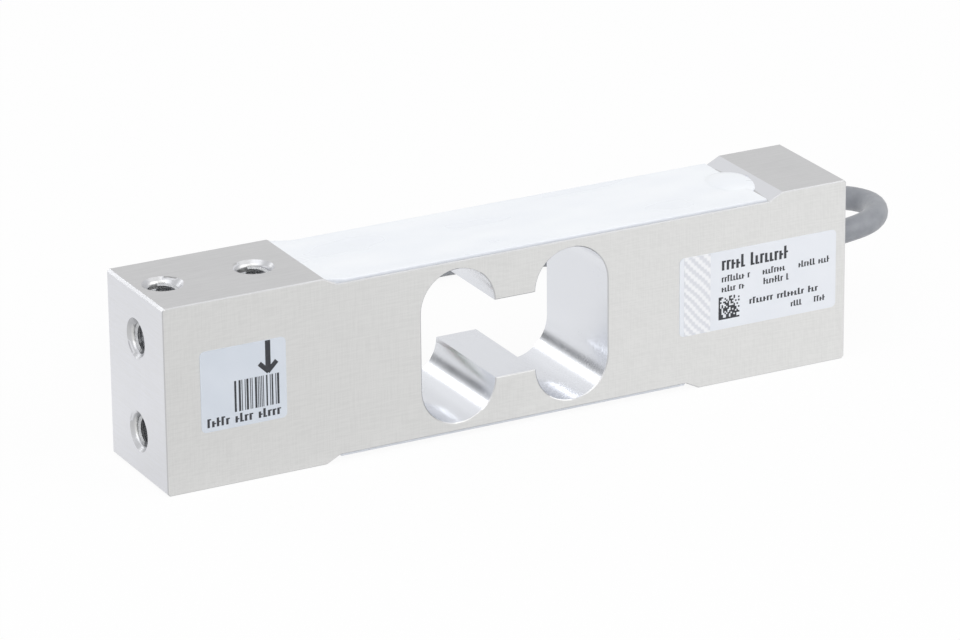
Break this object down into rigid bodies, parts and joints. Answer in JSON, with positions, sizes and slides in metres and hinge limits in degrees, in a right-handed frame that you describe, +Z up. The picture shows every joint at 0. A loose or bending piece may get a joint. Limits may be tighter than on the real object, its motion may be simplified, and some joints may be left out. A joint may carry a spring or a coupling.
{
  "type": "single point load cell",
  "caption": "Milled aluminium bending beam with a binocular window, coated strain gauges, tapped mounting holes and a grey signal lead.",
  "frame": {"origin": "middle of the beam's underside", "axes": "+X along the beam towards the lead's end, +Z up, the face with the stickers looks to -Y"},
  "size_m": [0.1719, 0.0846, 0.0381],
  "materials": {
    "milled_aluminium": "fine milled, satin",
    "white_silicone": "smooth, glossy",
    "polyimide_backing": "thin film",
    "gauge_foil": "etched foil",
    "board_laminate": "solder resist",
    "tinned_solder": "bright",
    "resistor_body": "moulded",
    "enamelled_wire": "enamelled",
    "core_black": "extruded",
    "core_red": "extruded",
    "core_white": "extruded",
    "core_green": "extruded",
    "grey_jacket": "extruded, soft sheen",
    "sealing_compound": "cast",
    "label_film": "polyester film",
    "silver_foil": "embossed foil",
    "shrink_sleeve": "shrunk"
  },
  "bodies": {
    "root": {"beam": "milled_aluminium", "top_coating": "white_silicone", "bottom_coating": "white_silicone", "terminal_board": "board_laminate", "board_pads": "tinned_solder", "bottom_terminals": "polyimide_backing", "trim_resistor_zero": "resistor_body", "trim_resistor_span": "resistor_body", "cable_jacket_end": "grey_jacket", "entry_seal": "sealing_compound", "serial_label": "label_film", "type_label": "label_film", "type_label_foil": "silver_foil", "cable_run": "grey_jacket", "cable_coil": "grey_jacket", "end_sleeve": "shrink_sleeve", "core_tips": "tinned_solder", "gauge_top_near": "polyimide_backing", "grid_top_near": "gauge_foil", "lead_top_near_a": "enamelled_wire", "lead_top_near_b": "enamelled_wire", "gauge_top_far": "polyimide_backing", "grid_top_far": "gauge_foil", "lead_top_far_a": "enamelled_wire", "lead_top_far_b": "enamelled_wire", "gauge_bottom_near": "polyimide_backing", "grid_bottom_near": "gauge_foil", "lead_bottom_near_a": "enamelled_wire", "lead_bottom_near_b": "enamelled_wire", "gauge_bottom_far": "polyimide_backing", "grid_bottom_far": "gauge_foil", "lead_bottom_far_a": "enamelled_wire", "lead_bottom_far_b": "enamelled_wire", "cross_wire_a": "enamelled_wire", "cross_wire_b": "enamelled_wire", "cross_wire_c": "enamelled_wire", "core_black": "core_black", "end_core_black": "core_black", "core_red": "core_red", "end_core_red": "core_red", "core_white": "core_white", "end_core_white": "core_white", "core_green": "core_green", "end_core_green": "core_green"}
  },
  "joints": []
}
